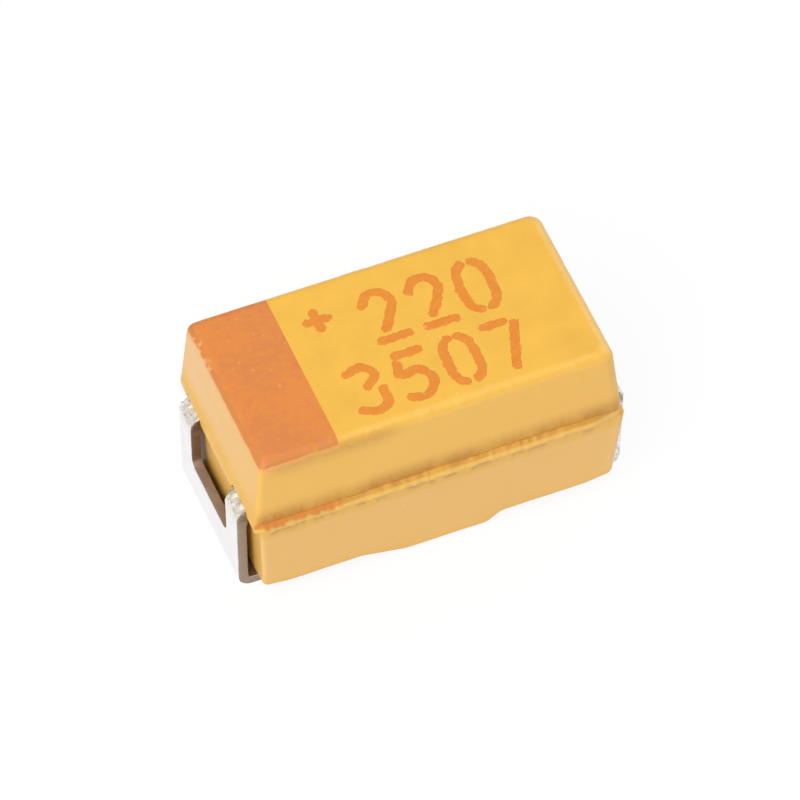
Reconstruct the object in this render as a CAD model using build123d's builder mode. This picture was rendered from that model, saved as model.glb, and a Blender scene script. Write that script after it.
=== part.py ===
from build123d import *
import os

# Moulded tantalum chip capacitor, case size 3216-18.
# Frame: X runs along the chip with the marked anode end at -X, Y runs across it, and Z = 0 is the plane of
# the solder feet, centred between the outer faces of the two terminals.

# ---- Driving dimensions, in millimetres and degrees ------------------------------------------------------

# Whole chip
chip_length = 3.18  # over the outer faces of the two terminals
chip_height = 1.62  # solder plane to the top of the case

# Lead strip, formed round the ends of the case
strip_thickness = 0.08
terminal_width = 1.18
bend_radius = 0.03  # inside radius of every bend
foot_length = 0.80  # from the terminal's outer face
exit_height = 0.875  # middle of the strip where it leaves the case
leg_gap = 0.025  # body outline at the parting plane to the inside of each leg

# Window that divides the anode strip into two prongs
window_width = 0.70
window_sill = 0.42  # height of the window's lower edge
window_depth = 0.24  # how far the window runs on inside the case
window_corner = 0.06

# Case: two drafted halves of one outline, a little out of line at the parting plane, where a lip of flash
# runs round the upper half's base
body_width = 1.59
half_mismatch = 0.05  # the lower half lies this far towards the cathode end
upper_draft = 3.0
lower_draft = 2.2
corner_radius = 0.10  # upright corners
top_edge_radius = 0.085
bottom_edge_radius = 0.06
lead_cover = 0.025  # resin between the strip and the parting plane
lip_side = 0.045  # lip beyond the upper half on the long sides
lip_end = 0.03  # lip beyond the upper half at the ends
lip_thickness = 0.055
lip_lead_gap = 0.02  # the lip stops this far short of each lead
lip_edge_radius = 0.015

# Underside: raised at the ends to clear the feet, with a pad standing down between them
foot_clearance = 0.015  # above the top of the feet
pad_clearance = 0.01  # pad to solder plane
pad_start = -0.28
pad_length = 0.71
anode_ramp = 0.36
cathode_ramp = 0.115
anode_ramp_blend = 0.30
cathode_ramp_blend = 0.12

# Polarity band, a skin in the top face
band_end = -0.82
band_margin = 0.045  # case end to the band, over the rounded top edge
band_depth = 0.02

# Anode tongue and riser wire
shoulder_length = 0.14  # full-width strip inside, past the window
tongue_width = 0.46
tongue_length = 0.22
tongue_corner = 0.05
weld_length = 0.24  # wire laid along the tongue
weld_flat = 0.02  # wire pressed flat on the tongue by this much
wire_diameter = 0.24
wire_depth = 0.30  # wire buried in the pellet
wire_free_length = 0.38  # tongue to pellet

# Washer on the wire
washer_diameter = 0.50
washer_thickness = 0.08

# Pellet and its coats
top_cover = 0.13  # resin above the coated pellet
side_cover = 0.19  # resin beside the coated pellet, at the parting plane
end_cover = 0.60  # body outline at the cathode end to the coated pellet
pellet_edge = 0.05
pellet_end_edge = 0.03
oxide_skin = 0.02
graphite_skin = 0.02
silver_skin = 0.03
graphite_margin = 0.05  # pellet's anode face to the graphite's rim
silver_margin = 0.10  # pellet's anode face to the silver's rim

# Cathode lead under the pellet
adhesive_thickness = 0.03
adhesive_margin = 0.10  # seat's edges to the adhesive
adhesive_corner = 0.12
seat_width = 0.84
seat_length = 0.70
crank_clearance = 0.14  # coated pellet to the crank, measured along X
crank_run = 0.14
shoulder_to_crank = 0.07
seat_corner = 0.08

# ---- Places worked out from them -------------------------------------------------------------------------

half_chip = chip_length / 2
leg_inner = half_chip - strip_thickness
strip_radius = bend_radius + strip_thickness / 2
strip_top = exit_height + strip_thickness / 2

body_length = 2 * (leg_inner - leg_gap)
parting_height = strip_top + lead_cover
prong_width = (terminal_width - window_width) / 2
prong_middle = (terminal_width - prong_width) / 2
upper_middle = -half_mismatch / 2
lower_middle = half_mismatch / 2
band_start = upper_middle - body_length / 2 + band_margin
recess_height = strip_thickness + foot_clearance
pad_end = pad_start + pad_length

window_end = -leg_inner + window_depth
shoulder_end = window_end + shoulder_length
tongue_end = shoulder_end + tongue_length
wire_start = tongue_end - weld_length
wire_height = strip_top + wire_diameter / 2 - weld_flat

coat_skin = oxide_skin + graphite_skin + silver_skin
pellet_start = tongue_end + wire_free_length
pellet_end = body_length / 2 - end_cover - coat_skin
pellet_width = body_width - 2 * (side_cover + coat_skin)
pellet_height = 2 * (chip_height - top_cover - coat_skin - wire_height)

coated_end = pellet_end + coat_skin
coated_bottom = wire_height - pellet_height / 2 - coat_skin
seat_top = coated_bottom - adhesive_thickness
seat_middle_height = seat_top - strip_thickness / 2
crank_foot = coated_end + crank_clearance
crank_head = crank_foot + crank_run
cathode_shoulder_end = crank_head + shoulder_to_crank
seat_end = coated_end - seat_length

os.makedirs("parts", exist_ok=True)


# ---- Case outline ----------------------------------------------------------------------------------------

with BuildPart() as case_form:
    # Lip of flash, lying on the parting plane
    with BuildSketch(Plane((upper_middle, 0, parting_height))):
        RectangleRounded(body_length + 2 * lip_end, body_width + 2 * lip_side, corner_radius + lip_end)
    extrude(amount=lip_thickness)
    lip_faces = case_form.faces().sort_by(Axis.Z)
    fillet(lip_faces[0].edges() + lip_faces[-1].edges(), lip_edge_radius)
    with BuildSketch(Plane.XY.offset(parting_height)):
        with Locations((-half_chip, prong_middle), (-half_chip, -prong_middle)):
            Rectangle(half_chip, prong_width + 2 * lip_lead_gap)
        with Locations((half_chip, 0)):
            Rectangle(half_chip, terminal_width + 2 * lip_lead_gap)
    extrude(amount=lip_thickness, mode=Mode.SUBTRACT)

    # Upper half, narrowing upwards
    with BuildSketch(Plane((upper_middle, 0, parting_height))):
        RectangleRounded(body_length, body_width, corner_radius)
    extrude(amount=chip_height - parting_height, taper=upper_draft)
    fillet(case_form.faces().sort_by(Axis.Z)[-1].edges(), top_edge_radius)

    # Lower half, narrowing down to the solder plane before its underside is cut
    with BuildSketch(Plane((lower_middle, 0, parting_height), x_dir=(1, 0, 0), z_dir=(0, 0, -1))):
        RectangleRounded(body_length, body_width, corner_radius)
    extrude(amount=parting_height, taper=lower_draft)

    # Underside line: raised end, ramp, pad, ramp, raised end
    with BuildSketch(Plane.XZ):
        with BuildLine():
            underside = FilletPolyline(
                (-half_chip, recess_height),
                (pad_start - anode_ramp, recess_height),
                (pad_start, pad_clearance),
                (pad_end, pad_clearance),
                (pad_end + cathode_ramp, recess_height),
                (half_chip, recess_height),
                radius=[anode_ramp_blend, anode_ramp_blend, cathode_ramp_blend, cathode_ramp_blend],
            )
            Polyline(
                underside @ 1,
                (half_chip, -recess_height),
                (-half_chip, -recess_height),
                underside @ 0,
            )
        make_face()
    extrude(amount=body_width, both=True, mode=Mode.SUBTRACT)
    underside_faces = case_form.faces().filter_by(lambda face: face.center().Z < parting_height / 4)
    underside_faces = underside_faces.filter_by(lambda face: face.normal_at().Z < -0.5)
    rim_edges = underside_faces.edges().filter_by(
        lambda edge: abs(edge.center().X - lower_middle) > body_length / 2 - 2 * corner_radius
        or abs(edge.center().Y) > body_width / 2 - 2 * corner_radius
    )
    fillet(rim_edges, bottom_edge_radius)

# ---- Lead strips -----------------------------------------------------------------------------------------

# Anode terminal: foot, leg, prongs, shoulders and tongue, all one formed strip
with BuildPart() as anode_terminal:
    with BuildSketch(Plane.XZ):
        with BuildLine():
            FilletPolyline(
                (-half_chip + foot_length, strip_thickness / 2),
                (-half_chip + strip_thickness / 2, strip_thickness / 2),
                (-half_chip + strip_thickness / 2, exit_height),
                (shoulder_end, exit_height),
                radius=strip_radius,
            )
        trace(line_width=strip_thickness)
    extrude(amount=terminal_width / 2, both=True)

    # Window up the leg, over the bend and on into the case
    with BuildSketch(Plane.YZ.offset(-half_chip)):
        with Locations((0, window_sill)):
            window = Rectangle(window_width, exit_height, align=(Align.CENTER, Align.MIN))
        fillet(window.vertices().group_by(Axis.Y)[0], window_corner)
    extrude(amount=half_chip + window_end, mode=Mode.SUBTRACT)

    # Tongue that carries the wire
    with BuildSketch(Plane.XY.offset(exit_height - strip_thickness / 2)):
        with Locations((shoulder_end, 0)):
            tongue = Rectangle(tongue_length, tongue_width, align=(Align.MIN, Align.CENTER))
        fillet(tongue.vertices().group_by(Axis.X)[-1], tongue_corner)
    extrude(amount=strip_thickness)
anode_terminal.part.label = "anode_terminal"

# Cathode terminal: foot, leg and shoulders, then a narrower crank down to the seat under the pellet
with BuildPart() as cathode_terminal:
    with BuildSketch(Plane.XZ):
        with BuildLine():
            FilletPolyline(
                (half_chip - foot_length, strip_thickness / 2),
                (half_chip - strip_thickness / 2, strip_thickness / 2),
                (half_chip - strip_thickness / 2, exit_height),
                (cathode_shoulder_end, exit_height),
                radius=strip_radius,
            )
        trace(line_width=strip_thickness)
    extrude(amount=terminal_width / 2, both=True)
    with BuildSketch(Plane.XZ):
        with BuildLine():
            FilletPolyline(
                (cathode_shoulder_end, exit_height),
                (crank_head, exit_height),
                (crank_foot, seat_middle_height),
                (seat_end, seat_middle_height),
                radius=strip_radius,
            )
        trace(line_width=strip_thickness)
    extrude(amount=seat_width / 2, both=True)
    seat_corners = cathode_terminal.edges().filter_by(Axis.Z).group_by(Axis.X)[0]
    seat_corners = seat_corners.filter_by_position(Axis.Z, 2 * strip_thickness, exit_height)
    fillet(seat_corners, seat_corner)
cathode_terminal.part.label = "cathode_terminal"

# ---- Anode element ---------------------------------------------------------------------------------------

# Riser wire, pressed flat where it is welded to the tongue
with BuildPart() as anode_wire:
    with BuildSketch(Plane.YZ.offset(wire_start)):
        with Locations((0, wire_height)):
            Circle(wire_diameter / 2)
    extrude(amount=pellet_start + wire_depth - wire_start)
    add(anode_terminal.part, mode=Mode.SUBTRACT)
anode_wire.part.label = "anode_wire"


def pellet_block(skin, start):
    """Return the pellet's block grown by skin on every side but the anode end, which stands at X = start."""
    with BuildPart() as block:
        with BuildSketch(Plane.YZ.offset(start)):
            with Locations((0, wire_height)):
                RectangleRounded(pellet_width + 2 * skin, pellet_height + 2 * skin, pellet_edge + skin)
        extrude(amount=pellet_end + skin - start)
        fillet(block.faces().sort_by(Axis.X)[-1].edges(), pellet_end_edge + skin)
    return block.part


# Sintered pellet on the wire
with BuildPart() as tantalum_pellet:
    add(pellet_block(0, pellet_start))
    fillet(tantalum_pellet.faces().sort_by(Axis.X)[0].edges(), pellet_end_edge)
    add(anode_wire.part, mode=Mode.SUBTRACT)
tantalum_pellet.part.label = "tantalum_pellet"

# Washer seated on the pellet round the wire
with BuildPart() as wire_washer:
    with BuildSketch(Plane.YZ.offset(pellet_start)):
        with Locations((0, wire_height)):
            Circle(washer_diameter / 2)
            Circle(wire_diameter / 2, mode=Mode.SUBTRACT)
    extrude(amount=-washer_thickness)
wire_washer.part.label = "wire_washer"

# Manganese dioxide all over the pellet, up to the washer
with BuildPart() as manganese_dioxide_coat:
    add(pellet_block(oxide_skin, pellet_start - oxide_skin))
    fillet(manganese_dioxide_coat.faces().sort_by(Axis.X)[0].edges(), pellet_end_edge + oxide_skin)
    add([tantalum_pellet.part, anode_wire.part, wire_washer.part], mode=Mode.SUBTRACT)
manganese_dioxide_coat.part.label = "manganese_dioxide_coat"

# Graphite and silver, two cups dipped over the oxide from the cathode end
with BuildPart() as graphite_coat:
    add(pellet_block(oxide_skin + graphite_skin, pellet_start + graphite_margin))
    add(pellet_block(oxide_skin, pellet_start - oxide_skin), mode=Mode.SUBTRACT)
graphite_coat.part.label = "graphite_coat"

with BuildPart() as silver_coat:
    add(pellet_block(coat_skin, pellet_start + silver_margin))
    add(pellet_block(oxide_skin + graphite_skin, pellet_start), mode=Mode.SUBTRACT)
silver_coat.part.label = "silver_coat"

# Silver adhesive between the coated pellet and the seat
with BuildPart() as silver_adhesive:
    with BuildSketch(Plane.XY.offset(seat_top)):
        with Locations(((seat_end + coated_end) / 2, 0)):
            RectangleRounded(
                seat_length - 2 * adhesive_margin,
                seat_width - 2 * adhesive_margin,
                adhesive_corner,
            )
    extrude(amount=adhesive_thickness)
silver_adhesive.part.label = "silver_adhesive"

# ---- Case and its marking --------------------------------------------------------------------------------

# Polarity band, taken from the skin of the case's top
with BuildPart() as polarity_band:
    add(case_form.part)
    with BuildSketch(Plane.XY.offset(chip_height - band_depth)):
        with Locations((band_start, 0)):
            Rectangle(band_end - band_start, body_width, align=(Align.MIN, Align.CENTER))
    extrude(amount=band_depth, mode=Mode.INTERSECT)
polarity_band.part.label = "polarity_band"

buried_pieces = [
    anode_terminal.part,
    cathode_terminal.part,
    anode_wire.part,
    tantalum_pellet.part,
    wire_washer.part,
    manganese_dioxide_coat.part,
    graphite_coat.part,
    silver_coat.part,
    silver_adhesive.part,
]

# Case moulded in one shot round everything it holds
with BuildPart() as moulded_case:
    add(case_form.part)
    add(polarity_band.part, mode=Mode.SUBTRACT)
    add(buried_pieces, mode=Mode.SUBTRACT)
moulded_case.part.label = "moulded_case"

for piece in [moulded_case.part, polarity_band.part, *buried_pieces]:
    export_step(piece, f"parts/{piece.label}.step")
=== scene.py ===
"""Looks of a moulded tantalum chip capacitor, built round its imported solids.

Sizes and places inside the classes are in millimetres, in the frame of the solids: X runs along the chip
with the marked anode end at -X, Y runs across it, and Z = 0 is the plane of the solder feet. Meshes and
cameras are scaled to metres when they are handed to Blender.
"""

import logging
import math
import random
from collections.abc import Callable, Iterator, Sequence
from dataclasses import dataclass, field
from enum import Enum
from typing import Any

import bmesh
import bpy
import numpy as np
from mathutils import Matrix, Vector, noise


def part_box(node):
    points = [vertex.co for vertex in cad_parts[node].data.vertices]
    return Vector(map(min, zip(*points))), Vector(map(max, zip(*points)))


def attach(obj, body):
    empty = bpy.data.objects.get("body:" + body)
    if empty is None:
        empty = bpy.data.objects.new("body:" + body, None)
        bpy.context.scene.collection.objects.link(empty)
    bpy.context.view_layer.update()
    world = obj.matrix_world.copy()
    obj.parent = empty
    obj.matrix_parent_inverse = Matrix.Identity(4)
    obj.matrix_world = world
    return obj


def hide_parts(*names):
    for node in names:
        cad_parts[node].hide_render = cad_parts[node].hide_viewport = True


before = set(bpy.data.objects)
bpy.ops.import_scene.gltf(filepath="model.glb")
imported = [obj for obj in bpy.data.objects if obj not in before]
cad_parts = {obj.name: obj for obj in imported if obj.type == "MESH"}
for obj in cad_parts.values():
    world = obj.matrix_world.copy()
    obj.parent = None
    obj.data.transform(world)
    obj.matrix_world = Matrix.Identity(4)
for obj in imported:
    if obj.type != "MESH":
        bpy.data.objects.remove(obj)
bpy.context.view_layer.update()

LOG = logging.getLogger("chip")
METRE = 0.001  # one millimetre
MERGE = 1e-6  # millimetres, within which points are one
SLACK = 1e-7  # millimetres, for cuts and for edges of no length
ROUNDING = 1e-9  # millimetres, what sums of lengths may be off by
SHARP = math.radians(30)  # an edge that turns by more is shaded sharp
QUARTER = math.pi / 2

Array = np.ndarray
Colour = tuple[float, float, float]
Place = tuple[float, float]
Key = tuple[int, int]  # a grid point's or a grid cell's row and column


# ---- Small helpers ---------------------------------------------------------------------------------------


def screen(red: int, green: int, blue: int) -> Colour:
    """Return the linear colour of a colour written as it shows on a screen, from 0 to 255."""
    shares = (value / 255 for value in (red, green, blue))
    return tuple(v / 12.92 if v <= 0.04045 else ((v + 0.055) / 1.055) ** 2.4 for v in shares)


def smooth(value: Array | float, start: float, end: float) -> Array | float:
    """Return 0 before start and 1 after end, eased between them; start may lie after end.

    Args:
        value: The number or numbers to judge.
        start: Where the result leaves 0.
        end: Where the result reaches 1.

    Returns:
        The eased share, from 0 to 1.
    """
    share = np.clip((value - start) / (end - start), 0, 1)
    return share * share * (3 - 2 * share)


def wander(points: Array, grain: float, seed: float) -> Array:
    """Return smooth noise at each point.

    Args:
        points: Rows of X, Y or X, Y, Z in millimetres.
        grain: The size of one lump in millimetres.
        seed: Moves the noise to another place, so that two uses differ.

    Returns:
        One number a row, about -1 to 1.
    """
    flat = np.column_stack([points, np.zeros((len(points), 3 - points.shape[1]))]) / grain
    return np.array([noise.noise(Vector(row) + Vector((seed, 7 * seed, -3 * seed))) for row in flat])


def around(items: Sequence[Any]) -> Iterator[tuple[Any, Any]]:
    """Return each item with the one after it, and the last with the first."""
    return zip(items, [*items[1:], items[0]])


# ---- Shader graphs ---------------------------------------------------------------------------------------


class Field:
    """A number, colour or vector that changes over a surface: one output socket of a material."""

    def __init__(self, graph: "Graph", socket: bpy.types.NodeSocket) -> None:
        """Wrap a socket of the graph it belongs to."""
        self.graph = graph
        self.socket = socket

    def _math(self, operation: str, *values: Any) -> "Field":
        """Return a Math node's result on these values, in this order."""
        return self.graph.node("ShaderNodeMath", {"operation": operation}, dict(enumerate(values)))

    def __add__(self, other: Any) -> "Field":
        """Return self + other."""
        return self._math("ADD", self, other)

    def __sub__(self, other: Any) -> "Field":
        """Return self - other."""
        return self._math("SUBTRACT", self, other)

    def __rsub__(self, other: Any) -> "Field":
        """Return other - self."""
        return self._math("SUBTRACT", other, self)

    def __mul__(self, other: Any) -> "Field":
        """Return self * other."""
        return self._math("MULTIPLY", self, other)

    __radd__ = __add__
    __rmul__ = __mul__

    def most(self, other: Any) -> "Field":
        """Return the larger of self and other."""
        return self._math("MAXIMUM", self, other)

    def clamped(self) -> "Field":
        """Return self held between 0 and 1."""
        return self.graph.node("ShaderNodeClamp", {}, {"Value": self})

    def eased(self, start: float, end: float) -> "Field":
        """Return 0 where self is before start and 1 after end, eased between them."""
        inputs = {"Value": self, "From Min": start, "From Max": end}
        return self.graph.node("ShaderNodeMapRange", {"interpolation_type": "SMOOTHSTEP"}, inputs)


class Graph:
    """The node graph of one material, with a Principled shader that the finish fills in."""

    def __init__(self, name: str) -> None:
        """Make an empty material with a Principled shader on its output.

        Args:
            name: The material's name.
        """
        self.material = bpy.data.materials.new(name)
        self.material.use_nodes = True
        self.tree = self.material.node_tree
        self.tree.nodes.clear()
        self.shader = self.tree.nodes.new("ShaderNodeBsdfPrincipled")
        output = self.tree.nodes.new("ShaderNodeOutputMaterial")
        self.tree.links.new(self.shader.outputs[0], output.inputs["Surface"])
        self.place = self.node(
            "ShaderNodeVectorMath",
            {"operation": "SCALE"},
            {0: self.node("ShaderNodeTexCoord", output="Object"), "Scale": 1 / METRE},
        )

    def node(
        self,
        kind: str,
        settings: dict[str, Any] | None = None,
        inputs: dict[str | int, Any] | None = None,
        output: str | int = 0,
    ) -> Field:
        """Add a node, set it up and link it.

        Args:
            kind: The node's type.
            settings: Its own settings, set first.
            inputs: What each input socket, by name or place, is set or linked to.
            output: The output socket to return, by name or place.

        Returns:
            The chosen output, as a field.
        """
        made = self.tree.nodes.new(kind)
        for name, value in (settings or {}).items():
            setattr(made, name, value)
        for name, value in (inputs or {}).items():
            self.feed(made.inputs[name], value)
        return Field(self, made.outputs[output])

    def feed(self, socket: bpy.types.NodeSocket, value: Any) -> None:
        """Link a field to a socket, or set the socket to a constant.

        Args:
            socket: The input socket.
            value: The field, number, colour or vector.
        """
        if isinstance(value, Field):
            self.tree.links.new(value.socket, socket)
        elif isinstance(value, tuple) and len(value) == 3 and socket.type == "RGBA":
            socket.default_value = (*value, 1.0)
        else:
            socket.default_value = value

    def set(self, **values: Any) -> None:
        """Feed the shader's sockets, whose names are written here with _ for a space."""
        for name, value in values.items():
            self.feed(self.shader.inputs[name.replace("_", " ")], value)

    def mix(self, share: Any, first: Any, second: Any) -> Field:
        """Return a colour that goes from first to second as share goes from 0 to 1."""
        return self.node("ShaderNodeMix", {"data_type": "RGBA"}, {0: share, 6: first, 7: second}, 2)

    def lighten(self, colour: Any, amount: Field) -> Field:
        """Return the colour scaled by amount, as a vector operation that keeps its hue."""
        return self.node("ShaderNodeVectorMath", {"operation": "SCALE"}, {0: colour, "Scale": amount})

    def cloud(self, grain: float, detail: float = 3.0, roughness: float = 0.55, seed: float = 0.0) -> Field:
        """Return noise from 0 to 1.

        Args:
            grain: The size of one lump in millimetres.
            detail: How many finer layers are added.
            roughness: How strong the finer layers are.
            seed: Moves the noise along its fourth axis.

        Returns:
            The noise value.
        """
        settings = {"noise_dimensions": "4D"}
        inputs = {
            "Vector": self.place,
            "W": seed,
            "Scale": 1 / grain,
            "Detail": detail,
            "Roughness": roughness,
        }
        return self.node("ShaderNodeTexNoise", settings, inputs)

    def cells(self, pitch: float, output: str) -> Field:
        """Return an output of a cell texture whose cells are about a pitch wide, in millimetres."""
        return self.node("ShaderNodeTexVoronoi", {}, {"Vector": self.place, "Scale": 1 / pitch}, output)

    def specks(self, pitch: float, radius: float, share: float) -> Field:
        """Return a mask of scattered round specks.

        Args:
            pitch: The mean distance between two cells in millimetres.
            radius: A speck's radius as a share of the pitch.
            share: The share of the cells that hold a speck.

        Returns:
            1 inside a speck and 0 outside it.
        """
        draw = self.node("ShaderNodeSeparateColor", {}, {"Color": self.cells(pitch, "Color")}, "Red")
        return self.cells(pitch, "Distance").eased(radius, radius * 0.5) * draw.eased(share, share * 0.9)

    def along(self, axis: str) -> Field:
        """Return the place along X, Y or Z in millimetres."""
        return self.node("ShaderNodeSeparateXYZ", {}, {"Vector": self.place}, axis)

    def grey(self, level: Any) -> Field:
        """Return a colour whose three parts are the level."""
        return self.node("ShaderNodeCombineColor", {}, dict.fromkeys(("Red", "Green", "Blue"), level))

    def painted(self, paint: "Paint") -> Field:
        """Return a number that the mesh carries at its points."""
        return self.node("ShaderNodeAttribute", {"attribute_name": paint.value}, {}, "Fac")

    def flaked(self) -> Field:
        """Mask where the band's ink has flaked off the anode end's top edge, most of all on its back half.

        Returns:
            1 where the ink is gone and 0 where it holds.
        """
        chips = self.cloud(0.08, 3.0, 0.6, 6.0)
        y = self.along("Y")
        back = y.eased(0.02, 0.30) * y.eased(0.74, 0.60)
        return ((back * 0.105 - 1.53 - self.along("X")) * 16 + (chips - 0.5) * 4.0).eased(0.2, 0.7)

    def relief(self, height: Field, depth: float) -> None:
        """Raise the surface in looks by height, from 0 to 1, times depth in millimetres."""
        inputs = {"Strength": 1.0, "Distance": depth * METRE, "Height": height}
        self.set(Normal=self.node("ShaderNodeBump", {}, inputs))


# ---- Finishes --------------------------------------------------------------------------------------------


class Paint(Enum):
    """The numbers that meshes carry at their points for the finishes to read."""

    CORNER = "corner"  # painted shade and seeped resin in the sunk corner above the lip
    WORN = "worn"  # wear and painted highlight on a proud edge
    GRIME = "grime"  # soiling and painted shade under the lip
    SMEAR = "smear"  # band ink that ran past the band
    WASH = "wash"  # band ink so thin that the resin shows through
    BLOOM = "bloom"  # painted pale sheen on the anode end and the lower walls
    CUT = "cut"  # a strip's sheared edge, bare of tin
    CRUST = "crust"  # lumpy tin where a strip leaves the case


@dataclass(frozen=True)
class MouldedResin:
    """Warm yellow satin epoxy: faint flow marks, resin seeped into sunk corners, edge wear, and painted
    shade, highlights and sheen.
    """

    body: Colour = screen(246, 187, 53)
    pale: Colour = screen(252, 206, 104)
    # Dark gold for seeped resin, and for painted shade in sunk corners and on the lip's top.
    bleed_and_shade: Colour = screen(198, 134, 6)
    # Soiling and painted shade under the lip.
    grime: Colour = screen(190, 126, 30)
    ink: Colour = screen(212, 123, 12)
    wash: Colour = screen(240, 160, 84)
    # Pale peach for the painted sheen.
    bloom: Colour = screen(247, 200, 176)

    def material(self) -> bpy.types.Material:
        """Build the case's material.

        Returns:
            The material.
        """
        graph = Graph("moulded_resin")
        flow = graph.cloud(0.30, 4.0, 0.6, 1.0)
        fine = graph.cloud(0.035, 3.0, 0.6, 2.0)
        on_top = graph.along("Z").eased(1.56, 1.61)
        colour = graph.lighten(self.body, 1.0 + (flow - 0.5) * (0.06 + on_top * 0.26) + (fine - 0.5) * 0.04)
        colour = graph.mix(graph.specks(0.16, 0.13, 0.10) * 0.45, colour, self.pale)
        colour = graph.mix(graph.specks(0.21, 0.10, 0.06) * 0.35, colour, self.bleed_and_shade)
        ragged = 0.55 + fine * 0.9
        # Wear with painted highlights, seeped resin with painted shade, soiling with painted shade, painted
        # sheen and thin ink.
        for paint, strength, tint in (
            (Paint.WORN, ragged * 0.55, self.pale),
            (Paint.CORNER, ragged * 0.9, self.bleed_and_shade),
            (Paint.GRIME, ragged * 0.62, self.grime),
            (Paint.BLOOM, 0.7 + flow * 0.6, self.bloom),
            (Paint.WASH, 0.4 + fine * 1.2, self.wash),
        ):
            colour = graph.mix((graph.painted(paint) * strength).clamped(), colour, tint)
        smear = graph.painted(Paint.SMEAR) + (fine - 0.5) * 0.5
        inked = smear.eased(0.28, 0.70) * (1.0 - graph.flaked())
        colour = graph.mix(inked * 0.92, colour, self.ink)
        rough = 0.44 + (fine - 0.5) * 0.16 + inked * 0.2 + graph.painted(Paint.CORNER) * 0.2
        graph.set(Base_Color=colour, Roughness=rough, IOR=1.6, Specular_IOR_Level=1.0)
        graph.relief(fine * 0.7 + flow * 0.3, 0.0022)
        return graph.material


@dataclass(frozen=True)
class MarkingInk:
    """Orange marking, slightly speckled, thin enough to lose flakes at its edges."""

    name: str
    body: Colour
    deep: Colour
    flake: Colour = screen(244, 176, 104)
    wear: float = 0.0  # how far flakes eat into the ink, from 0 to 1
    flakes: bool = False  # True where flakes have come off near the anode end

    def material(self) -> bpy.types.Material:
        """Build the marking's material.

        Returns:
            The material.
        """
        graph = Graph(self.name)
        flow = graph.cloud(0.42, 3.0, 0.55, 4.0)
        fine = graph.cloud(0.03, 3.0, 0.6, 5.0)
        blotch = graph.cloud(0.07, 2.0, 0.6, 14.0)
        colour = graph.mix((flow * 0.5 + blotch * 0.5).eased(0.40, 0.60), self.body, self.deep)
        colour = graph.lighten(colour, 0.90 + fine * 0.12 + blotch * 0.08)
        colour = graph.mix(graph.specks(0.065, 0.28, 0.16) * 0.32, colour, self.flake)
        colour = graph.mix(graph.specks(0.19, 0.12, 0.16) * 0.75, colour, self.flake)
        if self.wear:
            colour = graph.mix(fine.eased(0.60, 0.72) * self.wear, colour, self.flake)
        if self.flakes:
            colour = graph.mix(graph.flaked() * (0.4 + blotch * 0.7), colour, self.flake)
        graph.set(Base_Color=colour, Roughness=0.52 + (fine - 0.5) * 0.14, IOR=1.5)
        graph.relief(fine, 0.003)
        return graph.material


@dataclass(frozen=True)
class TinnedStrip:
    """Nickel-iron strip under bright tin, bare and brown where it was sheared, lumpy where tin piled up."""

    tin: Colour = (0.96, 0.94, 0.95)
    dull: Colour = (0.76, 0.73, 0.75)
    cream: Colour = (0.94, 0.89, 0.80)
    bare: Colour = screen(164, 145, 130)
    # Dark brown for rusty metal and for painted shade in the window and the gap at the case.
    rust: Colour = screen(126, 96, 72)
    pit: Colour = screen(176, 162, 140)

    def material(self) -> bpy.types.Material:
        """Build the lead strips' material.

        Returns:
            The material.
        """
        graph = Graph("tinned_strip")
        patch = graph.cloud(0.16, 3.0, 0.55, 8.0)
        fine = graph.cloud(0.022, 4.0, 0.65, 9.0)
        painted = graph.painted(Paint.CUT) + (fine - 0.5) * 0.4 + (patch - 0.5) * 0.3
        cut = painted.eased(0.25, 0.45)
        crust = graph.painted(Paint.CRUST)
        tin = graph.mix(((patch - 0.35) * 0.7).clamped(), self.tin, self.dull)
        tin = graph.mix(crust * 0.8, tin, self.cream)
        tin = graph.mix(crust * (patch * 0.5 + fine * 0.5).eased(0.50, 0.36) * 0.6, tin, self.pit)
        # The highest Paint.CUT, in the window and on the face towards the case, turns dark brown as painted
        # shade.
        bare = graph.mix(painted.eased(0.55, 0.95), self.bare, self.rust)
        bare = graph.lighten(bare, 0.8 + fine * 0.4)
        graph.set(
            Base_Color=graph.mix(cut, tin, bare),
            Metallic=1.0 - cut * 0.75,
            Roughness=0.34 + patch * 0.12 + cut * 0.16 + crust * 0.26,
        )
        graph.relief(fine * (1 + crust) + patch * 0.4, 0.004)
        return graph.material


@dataclass(frozen=True)
class GrainyFinish:
    """A finish of packed grains, for what the case holds: sintered metal, coats and paints."""

    name: str
    light: Colour
    dark: Colour
    grain: float  # millimetres
    roughness: float
    metallic: float = 0.0
    depth: float = 0.003  # millimetres

    def material(self) -> bpy.types.Material:
        """Build the finish's material.

        Returns:
            The material.
        """
        graph = Graph(self.name)
        coarse = graph.cloud(self.grain * 6, 3.0, 0.55, 11.0)
        grains = graph.cells(self.grain, "Distance")
        share = (grains * 0.7 + coarse * 0.6).eased(0.2, 0.95)
        graph.set(
            Base_Color=graph.mix(share, self.dark, self.light),
            Roughness=self.roughness + (coarse - 0.5) * 0.2,
            Metallic=self.metallic,
        )
        graph.relief(grains, self.depth)
        return graph.material


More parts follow.
